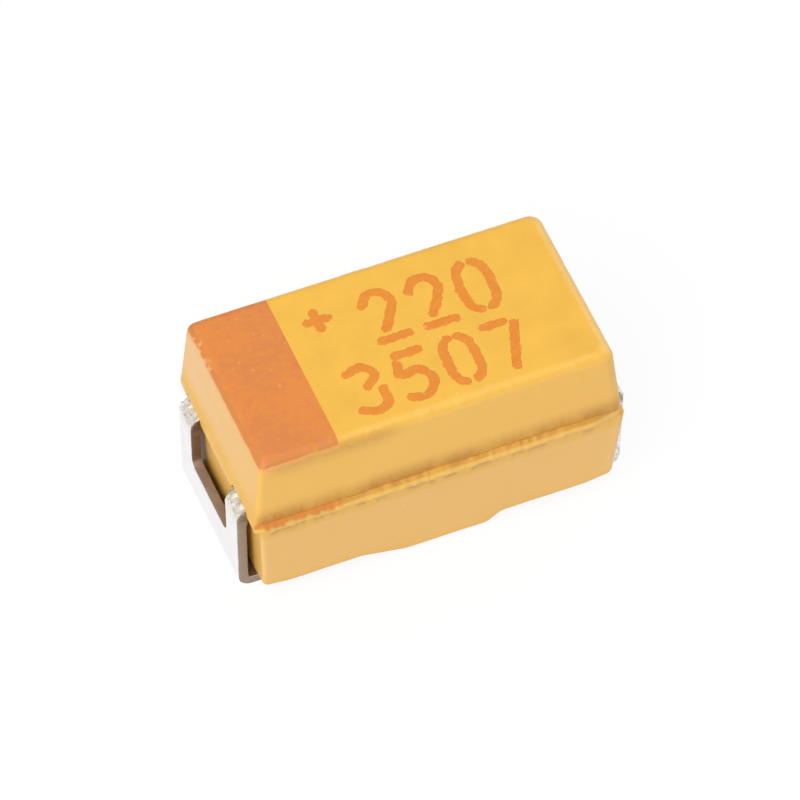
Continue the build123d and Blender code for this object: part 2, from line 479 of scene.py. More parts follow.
@dataclass(frozen=True)
class DrawnFinish:
    """A drawn or turned finish whose fine lines run along the chip."""

    name: str
    light: Colour
    dark: Colour
    roughness: float
    metallic: float
    line: float = 0.006  # millimetres between lines

    def material(self) -> bpy.types.Material:
        """Build the finish's material.

        Returns:
            The material.
        """
        graph = Graph(self.name)
        stretched = graph.node(
            "ShaderNodeVectorMath", {"operation": "MULTIPLY"}, {0: graph.place, 1: (0.04, 1.0, 1.0)}
        )
        inputs = {"Vector": stretched, "Scale": 1 / self.line, "Detail": 2.0}
        lines = graph.node("ShaderNodeTexNoise", {}, inputs)
        stains = graph.cloud(0.12, 3.0, 0.5, 12.0)
        graph.set(
            Base_Color=graph.mix((lines * 0.7 + stains * 0.5).eased(0.3, 0.9), self.dark, self.light),
            Roughness=self.roughness + (lines - 0.5) * 0.18,
            Metallic=self.metallic,
        )
        graph.relief(lines, 0.0012)
        return graph.material


# ---- Mesh tools ------------------------------------------------------------------------------------------


@dataclass(frozen=True)
class Walk:
    """Stations round a rounded rectangle, the same on every outline, so that a skin can join the outlines.

    The walk starts in the middle corner of the +X end and goes anticlockwise seen from above.
    """

    end_steps: int = 96
    side_steps: int = 210
    corner_steps: int = 16

    def stations(self) -> tuple[Array, Array]:
        """Walk round a core rectangle whose half sizes are 1.

        Returns:
            Each station's place on the core rectangle and its outward normal.
        """
        core: list[Place] = []
        normal: list[Place] = []
        corners = [(1, -1), (1, 1), (-1, 1), (-1, -1)]
        for side, (start, stop) in enumerate(around(corners)):
            steps = self.side_steps if side % 2 else self.end_steps
            facing = QUARTER * side
            for k in range(steps):
                share = k / steps
                core.append(tuple(a + (b - a) * share for a, b in zip(start, stop)))
                normal.append((math.cos(facing), math.sin(facing)))
            for k in range(self.corner_steps):
                angle = facing + QUARTER * k / self.corner_steps
                core.append(stop)
                normal.append((math.cos(angle), math.sin(angle)))
        return np.array(core, float), np.array(normal)

    def ring(
        self, middle: float, half_length: Array | float, half_width: Array | float, corner: Array | float
    ) -> Array:
        """Return the stations on one rounded rectangle.

        Args:
            middle: X of its middle.
            half_length: Half its size along X. This and the next two are the same all round, or one for each
                station.
            half_width: Half its size along Y.
            corner: Its corner radius.

        Returns:
            One X, Y row for each station.
        """
        core, normal = self.stations()
        x = middle + core[:, 0] * (half_length - corner) + normal[:, 0] * corner
        y = core[:, 1] * (half_width - corner) + normal[:, 1] * corner
        return np.column_stack([x, y])


@dataclass
class Skin:
    """A closed surface made of rings with equally many stations, from its lowest to its highest."""

    rings: list[Array] = field(default_factory=list)
    paints: dict[Paint, list[Array]] = field(default_factory=dict)

    def add(self, outline: Array, height: Array | float, **paint: Array | float) -> None:
        """Add a ring.

        Args:
            outline: One X, Y row for each station.
            height: Z, the same all round or one for each station.
            **paint: Values of the points, by the paint's name in small letters; unnamed paints are 0.
        """
        self.rings.append(np.column_stack([outline, np.broadcast_to(height, len(outline))]))
        for kind, values in self.paints.items():
            values.append(np.broadcast_to(paint.get(kind.value, 0.0), len(outline)).astype(float))

    def mesh(self) -> bmesh.types.BMesh:
        """Join the rings by quads and merge the points that fall together.

        Returns:
            The skin's mesh, with its paints.
        """
        made = bmesh.new()
        count = len(self.rings[0])
        layers = [made.verts.layers.float.new(kind.value) for kind in self.paints]
        points = [made.verts.new(p) for p in np.vstack(self.rings)]
        for layer, values in zip(layers, self.paints.values()):
            for point, value in zip(points, np.concatenate(values)):
                point[layer] = value
        for i in range(len(self.rings) - 1):
            low, high = i * count, (i + 1) * count
            for j in range(count):
                after = (j + 1) % count
                quad = (points[low + j], points[low + after], points[high + after], points[high + j])
                made.faces.new(quad)
        bmesh.ops.remove_doubles(made, verts=made.verts, dist=MERGE)
        return made


@dataclass(frozen=True)
class BentPath:
    """The middle line of a bent strip in the XZ plane: straight runs joined by arcs of one radius."""

    corners: Sequence[Place]
    radius: float

    def pieces(self) -> list[tuple[float, Vector, Vector, float]]:
        """Split the path into its runs and arcs.

        Returns:
            Each piece as (developed start, start point, start direction, turn in radians). A run has no
            turn, and the last entry marks the end of the path.
        """
        points = [Vector(c) for c in self.corners]
        found: list[tuple[float, Vector, Vector, float]] = []
        start, gone = points[0], 0.0
        for before, here, after in zip(points, points[1:], points[2:]):
            into, out = (here - before).normalized(), (after - here).normalized()
            turn = math.atan2(into.x * out.y - into.y * out.x, into.dot(out))
            cut = self.radius * math.tan(abs(turn) / 2)
            found.append((gone, start.copy(), into, 0.0))
            gone += (here - into * cut - start).length
            found.append((gone, here - into * cut, into, turn))
            gone += self.radius * abs(turn)
            start = here + out * cut
        last = (points[-1] - points[-2]).normalized()
        found.append((gone, start.copy(), last, 0.0))
        found.append((gone + (points[-1] - start).length, points[-1], last, 0.0))
        return found

    def at(self, developed: float) -> tuple[Vector, Vector]:
        """Find a place on the path, in the XZ plane.

        Args:
            developed: The length along the path from its start.

        Returns:
            The point there and the strip's outward normal.
        """
        found = self.pieces()
        piece = max((p for p in found[:-1] if p[0] <= developed + ROUNDING), key=lambda p: p[0])
        gone, start, direction, turn = piece
        along = developed - gone
        outward = Vector((-direction.y, direction.x))
        if not turn:
            return start + direction * along, outward
        side = math.copysign(1.0, turn)
        centre = start + outward * self.radius * side
        spin = Matrix.Rotation(side * along / self.radius, 2)
        return centre + spin @ (start - centre), spin @ outward

    def rows(self, step: float, fine: float) -> list[float]:
        """Spread developed lengths along the path.

        Args:
            step: How far apart they are on the runs.
            fine: How far apart they are in the arcs.

        Returns:
            The developed lengths, from the path's start to its end.
        """
        found = self.pieces()
        rows = [0.0]
        for piece, following in zip(found, found[1:]):
            length = following[0] - piece[0]
            count = max(1, round(length / (fine if piece[3] else step)))
            rows += [piece[0] + length * (k + 1) / count for k in range(count)]
        return rows


@dataclass
class BlankedStrip:
    """A strip sheared to a flat pattern with slightly broken edges, then bent along its path.

    The pattern is a grid of rows along the developed length and columns across the strip. A cell is metal
    where holds says so, and shift moves the grid's points across the strip, which rounds the corners of
    cut-outs.
    """

    path: BentPath
    thickness: float
    rows: list[float]
    columns: list[float]
    holds: Callable[[float, float], bool]
    shift: Callable[[float, float], float]
    tarnish: Callable[[float, float], float]  # Paint.CUT on the sheared edges
    inner_tarnish_and_shade: float = 0.95  # Paint.CUT on the face towards the case: painted shade in the gap
    edge: float = 0.009  # how far the sheared edges are broken
    edge_steps: int = 3
    least_cosine: float = 0.35  # caps how far the point of a sharp corner moves in

    def mesh(self) -> bmesh.types.BMesh:
        """Build the strip as a closed surface, with Paint.CUT on its sheared edges.

        Returns:
            The strip's mesh.
        """
        cells = {
            (i, j)
            for i in range(len(self.rows) - 1)
            for j in range(len(self.columns) - 1)
            if self.holds(
                (self.rows[i] + self.rows[i + 1]) / 2, (self.columns[j] + self.columns[j + 1]) / 2
            )
        }
        flat = {
            (i + a, j + b): Vector((self.rows[i + a], self.shift(self.rows[i + a], self.columns[j + b])))
            for i, j in cells
            for a in (0, 1)
            for b in (0, 1)
        }
        rim = self._rim(cells)
        inward = self._inward(rim, flat)
        made = bmesh.new()
        cut = made.verts.layers.float.new(Paint.CUT.value)
        half = self.thickness / 2

        def point(key: Key, inset: float, height: float, bare: float) -> bmesh.types.BMVert:
            """Add a point of the bent strip.

            Args:
                key: Its grid point.
                inset: How far it lies in from the sheared edge.
                height: How far it lies outwards from the strip's middle.
                bare: Its Paint.CUT.

            Returns:
                The new point.
            """
            place = flat[key] + inward.get(key, Vector((0, 0))) * inset
            middle, outward = self.path.at(place.x)
            bent = middle + outward * height
            vertex = made.verts.new((bent.x, place.y, bent.y))
            vertex[cut] = bare
            return vertex

        top = {key: point(key, self.edge, half, 0.0) for key in flat}
        bottom = {key: point(key, self.edge, -half, self.inner_tarnish_and_shade) for key in flat}
        for i, j in cells:
            keys = [(i, j), (i + 1, j), (i + 1, j + 1), (i, j + 1)]
            made.faces.new([top[k] for k in reversed(keys)])
            made.faces.new([bottom[k] for k in keys])
        side: dict[Key, list[bmesh.types.BMVert]] = {}
        for key in {k for pair in rim for k in pair}:
            bare = self.tarnish(*flat[key])
            column = [top[key]]
            for way in (1, -1):
                turns = range(1, self.edge_steps + 1)
                for k in turns if way > 0 else reversed(turns):
                    angle = QUARTER * k / self.edge_steps
                    inset = self.edge * (1 - math.sin(angle))
                    height = way * (half - self.edge * (1 - math.cos(angle)))
                    column.append(point(key, inset, height, bare if k > 1 else bare * 0.6))
            side[key] = [*column, bottom[key]]
        for start, stop in rim:
            for k in range(len(side[start]) - 1):
                made.faces.new((side[start][k], side[stop][k], side[stop][k + 1], side[start][k + 1]))
        bmesh.ops.recalc_face_normals(made, faces=made.faces)
        return made

    @staticmethod
    def _rim(cells: set[Key]) -> list[tuple[Key, Key]]:
        """Find the grid edges that have metal on one side only.

        Args:
            cells: The cells that are metal.

        Returns:
            Each edge's first and last grid point, walked with the metal on the left.
        """
        rim = []
        for i, j in cells:
            corners = [(i, j), (i + 1, j), (i + 1, j + 1), (i, j + 1)]
            beside = [(i, j - 1), (i + 1, j), (i, j + 1), (i - 1, j)]
            rim += [edge for edge, other in zip(around(corners), beside) if other not in cells]
        return rim

    def _inward(self, rim: list[tuple[Key, Key]], flat: dict[Key, Vector]) -> dict[Key, Vector]:
        """Work out how the rim's points move into the metal.

        Args:
            rim: The grid edges that have metal on one side only.
            flat: Each grid point's place in the flat pattern.

        Returns:
            For each point of the rim, the move that insets both of its edges by 1.
        """
        normals: dict[Key, list[Vector]] = {}
        for start, stop in rim:
            along = (flat[stop] - flat[start]).normalized()
            for key in (start, stop):
                normals.setdefault(key, []).append(Vector((-along.y, along.x)))
        moves = {}
        for key, (first, second) in normals.items():
            middle = (first + second).normalized()
            moves[key] = middle / max(self.least_cosine, middle.dot(first))
        return moves


def sink(
    mesh: bmesh.types.BMesh, faces: list[bmesh.types.BMFace], height: Callable[[float], float]
) -> None:
    """Extrude faces straight down.

    Args:
        mesh: The mesh that has the faces.
        faces: The faces, which stay where they are.
        height: Gives a new point's height from that of the old one.
    """
    made = bmesh.ops.extrude_face_region(mesh, geom=faces)
    for vertex in [part for part in made["geom"] if isinstance(part, bmesh.types.BMVert)]:
        vertex.co.z = height(vertex.co.z)


def add_object(name: str, data: bpy.types.ID) -> bpy.types.Object:
    """Make an object and link it to the scene.

    Args:
        name: The object's name.
        data: Its mesh, lamp or camera.

    Returns:
        The new object.
    """
    made = bpy.data.objects.new(name, data)
    bpy.context.scene.collection.objects.link(made)
    return made


def finish_mesh(made: bmesh.types.BMesh, name: str) -> bpy.types.Object:
    """Turn a mesh in millimetres into a smooth-shaded object in metres.

    Args:
        made: The mesh, which is freed.
        name: The piece's name.

    Returns:
        The new object, linked to the scene.
    """
    bmesh.ops.scale(made, vec=(METRE,) * 3, verts=made.verts)
    for face in made.faces:
        face.smooth = True
    data = bpy.data.meshes.new(name)
    made.to_mesh(data)
    made.free()
    return add_object(name, data)


def seat(piece: bpy.types.Object, material: bpy.types.Material, slot: str, *nodes: str) -> bpy.types.Object:
    """Dress a new piece, tie it to the chip's one body and hide the solids that it stands for.

    Args:
        piece: The new piece.
        material: Its finish.
        slot: The name of a material slot. Not used.
        *nodes: The solids that it replaces.

    Returns:
        The same piece.
    """
    piece.data.materials.clear()
    piece.data.materials.append(material)
    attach(piece, "root")
    if nodes:
        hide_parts(*nodes)
    LOG.info("%s: %d faces, finish %s", piece.name, len(piece.data.polygons), material.name)
    return piece


# ---- Shared places ---------------------------------------------------------------------------------------


@dataclass(frozen=True)
class Chip:
    """Places that several pieces share, read from the solids."""

    half_length: float
    top: float
    half_terminal: float
    strip_top: float
    band_start: float
    band_end: float
    band_floor: float
    case_half_width: float

    @classmethod
    def from_solids(cls) -> "Chip":
        """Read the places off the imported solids.

        Returns:
            The places.
        """
        strip_low, strip_high = (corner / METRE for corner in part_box("anode_terminal"))
        band_low, band_high = (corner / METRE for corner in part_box("polarity_band"))
        case_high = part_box("moulded_case")[1] / METRE
        return cls(
            half_length=-strip_low.x,
            top=band_high.z,
            half_terminal=strip_high.y,
            strip_top=strip_high.z,
            band_start=band_low.x,
            band_end=band_high.x,
            band_floor=band_low.z,
            case_half_width=case_high.y,
        )


# ---- Case ------------------------------------------------------------------------------------------------


@dataclass(frozen=True)
class MouldHalf:
    """One half of the case's mould: where it lies, and how its walls draw in away from the parting plane."""

    shift: float  # along X, from the case's middle
    side_draft: float  # degrees
    anode_draft: float
    cathode_draft: float
    anode_reach: float  # how far the end stands past the case's half length at the parting plane
    cathode_reach: float
    corners: tuple[float, float, float, float]  # radii in the walk's order, first at the cathode's front


@dataclass
class CaseMoulding:
    """The epoxy case: two drafted halves slightly out of line, a ragged lip and a raised underside."""

    chip: Chip
    half_length: float = 1.485
    upper: MouldHalf = MouldHalf(-0.025, 3.0, 4.6, 5.9, 0.003, 0.03, (0.085, 0.10, 0.065, 0.046))
    lower: MouldHalf = MouldHalf(0.025, 2.2, 2.2, 6.2, 0.016, 0.012, (0.062, 0.10, 0.065, 0.030))
    top_edge: float = 0.085
    bottom_edge: float = 0.06
    lead_cover: float = 0.025
    lip_side: float = 0.045
    lip_end: float = 0.006
    lip_rise: float = 0.025  # the lip meets the upper walls this far above the parting plane
    lip_droop: float = 0.085  # and its lower edge hangs this far below it
    lip_nose: float = 0.42  # where the lip stands out most, as a share of its height
    lip_gap: float = 0.02
    flare: float = 0.012  # how far the anode end's wall spreads towards the lip
    flare_height: float = 0.18
    window: float = 0.70
    recess: float = 0.095
    pad: float = 0.01
    ramp_knots: tuple[float, float, float, float] = (-0.64, -0.28, 0.447, 0.552)
    ramp_blends: tuple[float, float, float, float] = (0.033, 0.033, 0.038, 0.038)
    ink_room: float = 0.0015  # the case's top lies this far below the printed marks
    knobs: int = 46  # lumps of flash along the lip
    seed: int = 11
    walk: Walk = Walk()
    spine_pitch: float = 0.02  # the floor and the top close on points of the middle line this far apart
    # How many rings each stretch of the skin has, from the floor to the top.
    floor_rings: int = 27
    rim_rings: int = 9
    wall_rings: int = 13
    lip_under_rings: int = 8
    lip_over_rings: int = 12
    edge_rings: int = 17
    lid_rings: int = 19
    # The rings below the lip: how far below it they lie, and how much soiling and painted shade the wall
    # takes there.
    grime_and_shade_rings: tuple[Place, ...] = (
        (0.12, 0.0),
        (0.09, 0.15),
        (0.065, 0.5),
        (0.045, 0.85),
        (0.02, 1.0),
        (0.004, 1.0),
    )
    # The rings of the upper walls, as shares of their height: close together in the sunk corner.
    upper_rings: tuple[float, ...] = (
        0.012, 0.03, 0.05, 0.08, 0.12, 0.17, 0.23, 0.31, 0.4, 0.5, 0.6, 0.7, 0.8, 0.9,
    )

    @property
    def parting(self) -> float:
        """Return the height of the parting plane."""
        return self.chip.strip_top + self.lead_cover

    @property
    def half_width(self) -> float:
        """Return half the body's width at the parting plane."""
        return self.chip.case_half_width - self.lip_side

    def outline(self, half: MouldHalf, height: Array | float, inset: Array | float = 0.0) -> Array:
        """Return the outline of the walls at a height.

        Args:
            half: The half of the mould that the walls belong to.
            height: Z, the same all round or one for each station.
            inset: How far the outline is moved inwards. Below 0 it moves outwards.

        Returns:
            One X, Y row for each station.
        """
        rise = np.abs(height - self.parting)
        side, anode, cathode = (
            rise * math.tan(math.radians(draft)) + inset
            for draft in (half.side_draft, half.anode_draft, half.cathode_draft)
        )
        left = self.half_length + half.anode_reach - anode
        right = self.half_length + half.cathode_reach - cathode
        middle = half.shift + (right - left) / 2
        return self.walk.ring(middle, (right + left) / 2, self.half_width - side, self._corner(half))

    def _corner(self, half: MouldHalf) -> Array:
        """Blend the corner radii along the sides from corner to corner.

        Args:
            half: The half of the mould that has the corners.

        Returns:
            The corner radius at each station.
        """
        core, _ = self.walk.stations()
        signs = np.array([(1, -1), (1, 1), (-1, 1), (-1, -1)])
        shares = np.prod((1 + core[:, None, :] * signs) / 2, axis=2)
        return shares @ np.array(half.corners)

    def _spine(self, ring: Array, centre: float = 0.0) -> Array:
        """Place a ring's stations on the case's middle line, where the floor or the top closes.

        Args:
            ring: One X, Y row for each station.
            centre: X of the line's middle.

        Returns:
            One X, Y row for each station, in whole pitches along the line, so that its two sides meet.
        """
        reach = self.half_length - self.half_width
        pitches = np.round(np.clip(ring[:, 0], centre - reach, centre + reach) / self.spine_pitch)
        return np.column_stack([pitches * self.spine_pitch, np.zeros(len(ring))])

    @staticmethod
    def _front(normal: Array) -> Array:
        """Return 1 for stations on the front and 0 for the others, eased in the corners."""
        return smooth(-normal[:, 1], 0.0, 0.7)

    def underside(self, x: Array) -> Array:
        """Follow the underside: raised ends, ramps with eased corners, and the pad between them.

        Args:
            x: Places along the chip.

        Returns:
            The underside's height at each place.
        """
        first, second, third, fourth = self.ramp_knots
        fall = (self.recess - self.pad) / (second - first)
        rise = (self.recess - self.pad) / (fourth - third)
        height = np.full_like(x, self.recess)
        for knot, blend, change in zip(self.ramp_knots, self.ramp_blends, (-fall, fall, rise, -rise)):
            past = x - knot
            eased = (past + blend) ** 2 / (4 * blend)
            height += change * np.where(past < -blend, 0, np.where(past > blend, past, eased))
        return height

    def build(self) -> bmesh.types.BMesh:
        """Build the case's whole skin, with its paints, before the band is let in.

        Returns:
            The skin's mesh.
        """
        _, normal = self.walk.stations()
        kinds = (Paint.CORNER, Paint.WORN, Paint.GRIME, Paint.SMEAR, Paint.WASH, Paint.BLOOM)
        skin = Skin(paints={kind: [] for kind in kinds})
        self._lower_half(skin, normal)
        lip_top = self._lip(skin, normal)
        self._upper_half(skin, normal, lip_top)
        return skin.mesh()

    def _lower_half(self, skin: Skin, normal: Array) -> None:
        """Add the underside, its rounded rim and the lower walls.

        Args:
            skin: The skin that takes the rings.
            normal: Each station's outward normal.
        """
        outline = self.outline(self.lower, self.parting)
        away = np.hypot(np.abs(outline[:, 0]) - self.half_length, outline[:, 1] + self.half_width)
        rounder = 0.6 * np.exp(-((away / 0.12) ** 2))
        rim = self.bottom_edge * (1 + 0.12 * wander(outline, 0.25, 2.0) + rounder)
        # Wear and a painted highlight on the lower walls near the front corners.
        rubbed_and_lit = 0.8 * np.exp(-((away / 0.045) ** 2))
        floor = self.underside(outline[:, 0])
        inner = self.outline(self.lower, floor, rim)
        middle = self._spine(inner)
        for share in np.linspace(0, 1, self.floor_rings)[:-1]:
            ring = middle + (inner - middle) * share
            skin.add(ring, self.underside(ring[:, 0]))
        # Wear and a painted highlight on the bottom rim, strongest halfway round it.
        for angle in np.linspace(QUARTER, 0, self.rim_rings):
            height = floor + rim * (1 - math.sin(angle))
            ring = self.outline(self.lower, height, rim * (1 - math.cos(angle)))
            skin.add(ring, height, worn=0.3 * math.sin(2 * angle))
        low, high = floor + rim, self.parting - self.lip_droop - self.grime_and_shade_rings[0][0]
        for share in np.linspace(0, 1, self.wall_rings)[1:]:
            height = low + (high - low) * share
            ring = self.outline(self.lower, height)
            sunk = 0.0018 * wander(np.column_stack([ring, height]), 0.3, 3.0) * math.sin(math.pi * share)
            # A faint painted sheen on the lower walls.
            skin.add(ring + normal * sunk[:, None], height, bloom=0.13, worn=rubbed_and_lit)

    def _lip(self, skin: Skin, normal: Array) -> Array:
        """Add the lip of flash.

        Args:
            skin: The skin that takes the rings.
            normal: Each station's outward normal.

        Returns:
            The height where the upper walls start, at each station.
        """
        upper = self.outline(self.upper, self.parting)
        present = self._beside_leads(upper, normal)
        lumps = self._lumps(upper)
        ragged = 0.5 * wander(upper, 0.22, 5.0) + 0.25 * wander(upper, 0.06, 6.0)
        ragged += 0.15 * wander(upper, 0.02, 7.0)
        x, y = upper.T
        corners = 0.96 * smooth(x, 1.22, 1.42) + 0.7 * smooth(x, -1.25, -1.42) * smooth(y, 0.0, 0.3)
        full = np.hypot(self.lip_end * normal[:, 0], self.lip_side * normal[:, 1]) * (1 - corners)
        reach = full * present * np.clip(0.84 + 0.3 * ragged + 0.35 * lumps, 0.4, 1.0)
        foot = self.parting - present * self.lip_droop * (0.86 + 0.3 * wander(upper, 0.08, 9.0))
        lid = self.parting + self.lip_rise * (0.9 + 0.3 * wander(upper, 0.16, 8.0) + 0.3 * lumps)
        nose = foot + (lid - foot) * self.lip_nose
        front = self._front(normal)
        # Soiling and painted shade in dashes under the lip's overhang, most on the front.
        dashes = smooth(wander(upper, 0.11, 12.0) + 0.35 * wander(upper, 0.03, 13.0), -0.20, 0.25)
        grime = present * dashes * (0.3 + 0.7 * front)
        smear = self._lip_smear(upper, front)
        for below, lip_shelter in self.grime_and_shade_rings:
            ring = self.outline(self.lower, foot - below)
            skin.add(ring, foot - below, grime=lip_shelter * grime, smear=0.3 * lip_shelter * smear)
        wall = self.outline(self.upper, lid, -self._flare(normal, 0.0))
        under = self.outline(self.lower, foot)
        tip = wall + normal * reach[:, None]
        for turn in np.linspace(0, QUARTER, self.lip_under_rings):
            ring = under + (tip - under) * (0.25 + 0.75 * math.sin(turn))
            height = foot + (nose - foot) * (1 - math.cos(turn))
            skin.add(ring, height, grime=grime * (1 - math.sin(turn) ** 2), smear=0.4 * smear)
        for turn in np.linspace(0, QUARTER, self.lip_over_rings)[1:]:
            ring = wall + (tip - wall) * math.cos(turn)
            height = nose + (lid - nose) * math.sin(turn)
            # Wear and painted highlights on the lip's lumps and lower part.
            worn = np.clip(present * (0.14 + 0.35 * lumps) * float(smooth(turn, 1.0, 0.4)), 0, 1)
            # The lip's top turns gold towards the wall: painted shade with seeped resin.
            near_wall = float(smooth(turn, 0.35, 1.05))
            gold = present * (1 - 0.9 * normal[:, 0] ** 2) * near_wall * (1 - 0.4 * lumps)
            skin.add(ring, height, worn=worn, corner=gold, smear=smear * (0.45 + 0.55 * math.sin(turn)))
        return lid

    def _flare(self, normal: Array, height: Array | float) -> Array:
        """Spread the anode end's upper wall outwards towards the lip.

        Args:
            normal: Each station's outward normal.
            height: The height above the lip.

        Returns:
            How far the wall stands out at each station.
        """
        left = np.clip(1 - height / self.flare_height, 0, 1)
        core, _ = self.walk.stations()
        return self.flare * left**2 * smooth(-normal[:, 0], 0.3, 0.9) * (1 - smooth(core[:, 1], 0.6, 1.0))

    def _beside_leads(self, outline: Array, normal: Array) -> Array:
        """Find where the lip stops beside the leads.

        Args:
            outline: One X, Y row for each station.
            normal: Each station's outward normal.

        Returns:
            1 where the lip runs on and 0 beside a lead.
        """
        y = np.abs(outline[:, 1])
        prong_inner, prong_outer = self.window / 2 - self.lip_gap, self.chip.half_terminal + self.lip_gap
        in_prong = smooth(y, prong_inner - 0.02, prong_inner) * smooth(y, prong_outer + 0.02, prong_outer)
        anode = smooth(-normal[:, 0], 0.6, 0.8) * in_prong
        cathode = smooth(normal[:, 0], 0.6, 0.8) * smooth(y, prong_outer + 0.02, prong_outer)
        return 1 - np.clip(anode + cathode, 0, 1)

    def _lumps(self, outline: Array) -> Array:
        """Scatter small lumps of flash along the lip, thickest on its front.

        Args:
            outline: One X, Y row for each station.

        Returns:
            How high the lumps are at each station, from 0 to 1.
        """
        draw = random.Random(self.seed)
        lumps = np.zeros(len(outline))
        for _ in range(self.knobs):
            if draw.random() < 0.45:
                place = np.array([draw.uniform(-0.6, 1.0), -self.half_width])
            else:
                place = outline[draw.randrange(len(outline))]
            width = draw.uniform(0.012, 0.04)
            height = draw.uniform(0.25, 1.0)
            away = np.linalg.norm(outline - place, axis=1)
            lumps = np.maximum(lumps, height * np.exp(-((away / width) ** 2)))
        return lumps

    def _lip_smear(self, outline: Array, front: Array) -> Array:
        """Spread the band's ink on the lip, below the band on the front.

        Args:
            outline: One X, Y row for each station.
            front: 1 on the front and 0 elsewhere.

        Returns:
            How much ink lies at each station, from 0 to 1.
        """
        ends = smooth(outline[:, 0], self.chip.band_end + 0.07, self.chip.band_end - 0.07)
        patches = 0.72 + 0.7 * wander(outline, 0.10, 15.0) + 0.35 * wander(outline, 0.03, 16.0)
        return front * ends * np.clip(patches, 0, 1)

    def _upper_half(self, skin: Skin, normal: Array, low: Array) -> None:
        """Add the upper walls, the rounded top edge and the top.

        Args:
            skin: The skin that takes the rings.
            normal: Each station's outward normal.
            low: The height where the walls start, at each station.
        """
        outline = self.outline(self.upper, self.parting)
        top = self.chip.top - self.ink_room
        edge = self.top_edge * (1 + 0.10 * wander(outline, 0.2, 17.0) + 0.05 * wander(outline, 0.05, 18.0))
        high = top - edge
        sheltered = 1 - 0.8 * normal[:, 0] ** 2
        front = self._front(normal)
        bloom = self._bloom(outline, normal)
        haze = self._haze(outline, front)
        # How patchy the painted shade and seeped resin in the sunk corner are along the wall.
        stain = np.clip(0.9 + 0.5 * wander(outline, 0.22, 26.0) + 0.3 * wander(outline, 0.06, 27.0), 0.5, 1)
        for share in self.upper_rings:
            height = low + (high - low) * share
            ring = self.outline(self.upper, height, -self._flare(normal, height - low))
            sunk = 0.0015 * wander(np.column_stack([ring, height]), 0.35, 19.0) * math.sin(math.pi * share)
            # Painted shade and seeped resin where the wall meets the lip.
            corner = float(smooth(share, 0.33, 0.03)) * sheltered * stain
            # The painted sheen on the anode end's upper wall, weaker near the lip and dipping high on the
            # wall.
            paler = float(smooth(share, 0.12, 0.5) * (1 - 0.45 * smooth(abs(share - 0.72), 0.12, 0.0)))
            skin.add(
                ring + normal * sunk[:, None],
                height,
                corner=np.maximum(corner, 0.34 * haze * float(smooth(share, 0.75, 1.0))),
                smear=corner * self._lip_smear(outline, front) * 0.62,
                bloom=bloom * paler,
            )
        rounding = self.outline(self.upper, top)
        run = self._edge_smear(rounding, normal)
        band_end = self.chip.band_end
        bare = 1 - smooth(rounding[:, 0], band_end + 0.25, band_end - 0.05)
        # Wear and painted highlights on the top edge away from the band: in spots, strongest at the cathode
        # end and halfway round.
        spots = smooth(wander(outline, 0.11, 20.0), 0.2, 0.6)
        worn = bare * (0.22 + 0.5 * spots + 0.6 * smooth(normal[:, 0], 0.2, 0.8))
        for angle in np.linspace(0, QUARTER, self.edge_rings):
            height = top - edge * (1 - math.sin(angle))
            begin = 0.30 - 0.10 * normal[:, 0] ** 2
            ring = self.outline(self.upper, height, edge * (1 - math.cos(angle)))
            beside = smooth(ring[:, 0], band_end + 0.008, band_end - 0.008)
            skin.add(
                ring,
                height,
                worn=np.clip(worn * math.sin(2 * angle), 0, 1),
                corner=0.55 * haze * float(smooth(angle, 1.1, 0.3)),
                smear=run * beside * smooth(angle, begin, begin + 0.35),
                wash=run * beside * smooth(angle, -0.15, 0.35) * 0.75,
                bloom=bloom,
            )
        inner = self.outline(self.upper, top, edge)
        middle = self._spine(inner, self.upper.shift)
        for share in np.linspace(0, 1, self.lid_rings)[1:]:
            skin.add(inner + (middle - inner) * share, top)

    def _bloom(self, outline: Array, normal: Array) -> Array:
        """Return how strong the painted pale sheen on the anode end is: most towards its far corner."""
        return smooth(-normal[:, 0], 0.5, 1.0) * (0.10 + 0.27 * smooth(outline[:, 1], -0.75, 0.6))

    def _haze(self, outline: Array, front: Array) -> Array:
        """Stain the front under its top edge, beside the band and a little past it.

        Args:
            outline: One X, Y row for each station.
            front: 1 on the front and 0 elsewhere.

        Returns:
            How deep the stain is at each station, from 0 to 1.
        """
        x, end = outline[:, 0], self.chip.band_end
        return front * smooth(x, end + 0.62, end + 0.28) * smooth(x, -1.5, -1.3)

    def _edge_smear(self, outline: Array, normal: Array) -> Array:
        """Run the band's ink down the rounded top edge beside the band.

        Args:
            outline: One X, Y row for each station.
            normal: Each station's outward normal.

        Returns:
            How much ink lies at each station, from 0 to 1.
        """
        x = outline[:, 0]
        towards_corner = smooth(x, self.chip.band_end, self.chip.band_start + 0.1) * np.abs(normal[:, 1])
        end = 0.25 * normal[:, 0] ** 2
        return np.clip(0.66 + 0.3 * towards_corner + end + 0.3 * wander(outline, 0.12, 22.0), 0, 1)


